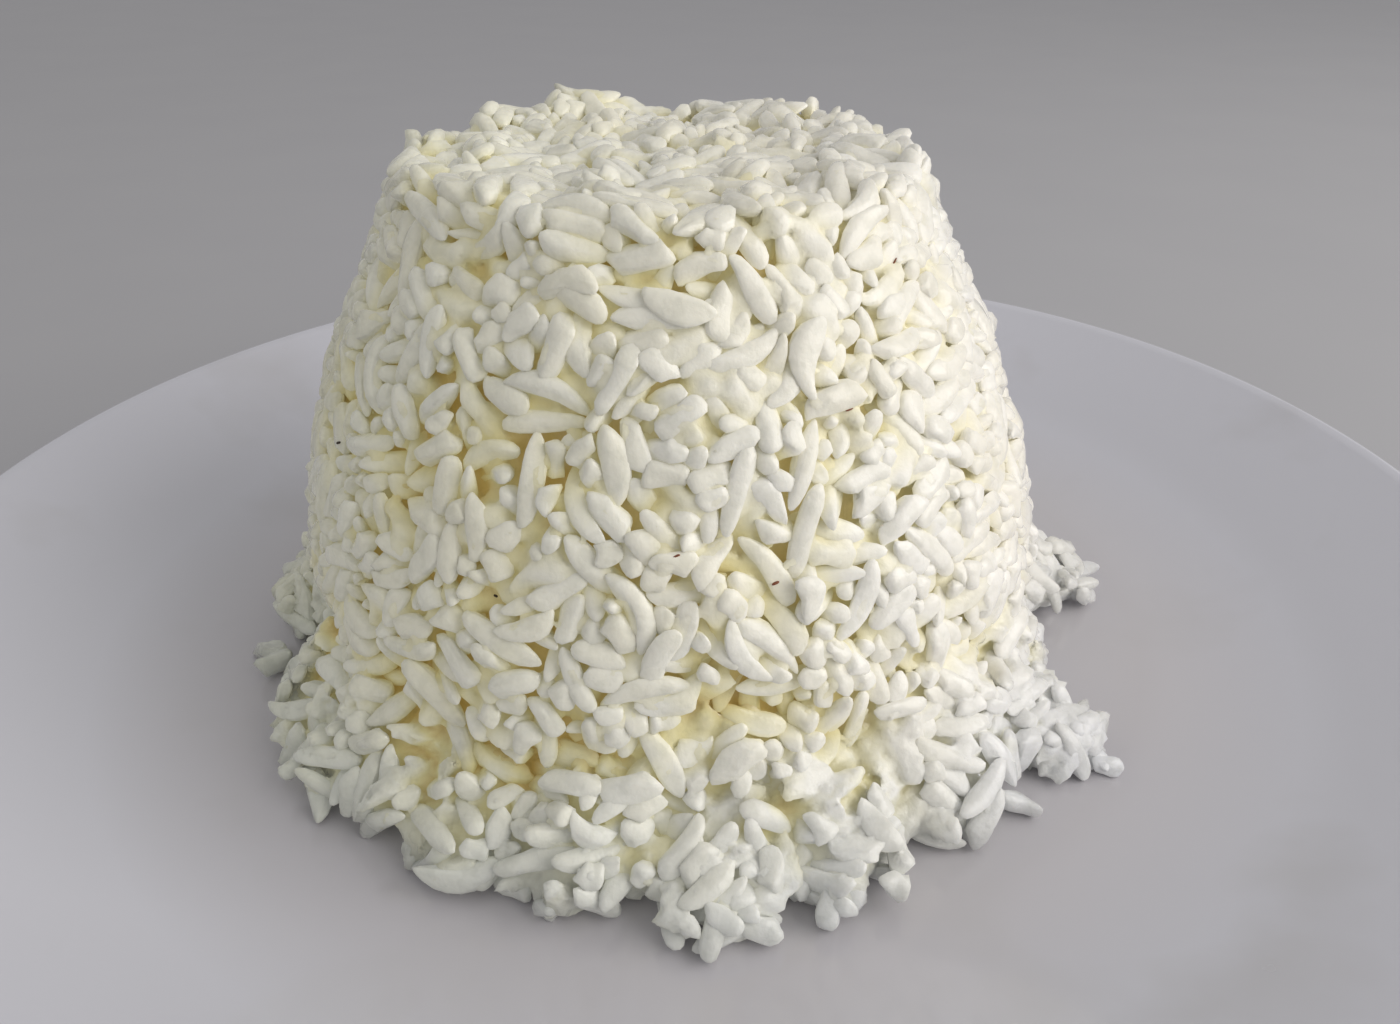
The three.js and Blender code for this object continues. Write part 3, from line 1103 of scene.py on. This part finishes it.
def setStudio():
    world = bpy.data.worlds.new("studio")
    world.use_nodes = True
    background = world.node_tree.nodes["Background"]
    background.inputs["Color"].default_value = studio["air"]
    background.inputs["Strength"].default_value = studio["airStrength"]
    bpy.context.scene.world = world
    addLight("window", studio["window"], studio["windowAim"], studio["windowSize"],
             studio["windowPower"], studio["windowColour"])
    bpy.context.scene.view_settings.view_transform = "Standard"
    bpy.context.scene.cycles.diffuse_bounces = studio["diffuseBounces"]
    bpy.context.scene.cycles.max_bounces = studio["bounces"]


def buildFloor():
    mesh = bpy.data.meshes.new("floor")
    reach = studio["floorReach"]
    corners = [(-reach, -reach, 0), (reach, -reach, 0), (reach, reach, 0), (-reach, reach, 0)]
    mesh.from_pydata(corners, [], [(0, 1, 2, 3)])
    shader = Shader("paleFloor", Roughness=0.6)
    cloud = shader.noise(studio["floorCloudSize"], 2)
    tone = shader.mixColours(cloud, studio["floor"], studio["floorCloud"])
    mesh.materials.append(shader.finish(Base_Color=tone))
    floor = bpy.data.objects.new("floor", mesh)
    bpy.context.scene.collection.objects.link(floor)


loose = {          # which grains lie clear of the bed
    "depth": 1.9,  # mm that its nearest end may be below the wall
    "wallShare": 0.89,
    "skirtShare": 0.8,
    "seed": 23,
}


def outermost(grains, field):  # how deep the nearest bead of each grain lies
    nearest = np.full(len(grains["length"]), np.inf)
    half = (grains["length"] - grains["width"]) / 2
    for share in (-0.8, -0.4, 0, 0.4, 0.8):
        away, _ = field.at(grains["centre"] + grains["way"] * (share * half)[:, None])
        nearest = np.minimum(nearest, -away)
    return nearest


def buildRice():
    fields = outline, envelope = makeFields()
    print("heap measured")
    grains = packGrains(envelope)
    rng = np.random.default_rng(loose["seed"])
    material = riceMaterial()
    _, height = bearingAndHeight(grains["centre"])
    share = np.where(height < heap["skirtHeight"] - 1, loose["skirtShare"], loose["wallShare"])
    crisp = (outermost(grains, envelope) < loose["depth"]) & (rng.uniform(size=len(share)) < share)
    laid = laidGrains()
    both = {key: np.concatenate([grains[key], laid[key]]) for key in grains}
    clear = np.concatenate([crisp, np.ones(len(laid["kind"]), bool)])
    tint = rng.uniform(size=len(clear))
    rice = []
    for name in kinds:
        points, triangles, owner = shapeGrains(name, both, clear, envelope, rng)
        points = pressFlat(points, outline)
        depth = np.where(owner < len(crisp), depthBelow(points, outline), 0)
        rice.append(addRice(kinds[name]["piece"], points, triangles, material, outline, depth,
                            tint[owner], cookedRice["evenness"]))
    grains["width"] = grains["width"] * np.where(crisp, bed["thinner"], 1)
    grains["length"] = grains["length"] * np.where(crisp, bed["thinner"], 1)
    lower = height < bed["split"]
    ends = (bed["bottom"], bed["split"] + bed["overlap"])
    rice.append(addBed("lower_bed", grains, lower, ends, fields, material, rng))
    ends = (bed["split"] - bed["overlap"], heapTop() - bed["core"] - bed["overlap"])
    rice.append(addBed("upper_bed", grains, ~lower, ends, fields, material, rng))
    buildFlecks(rice)


setCamera()
setStudio()
buildFloor()
buildPlate()
print("plate built")
buildRice()
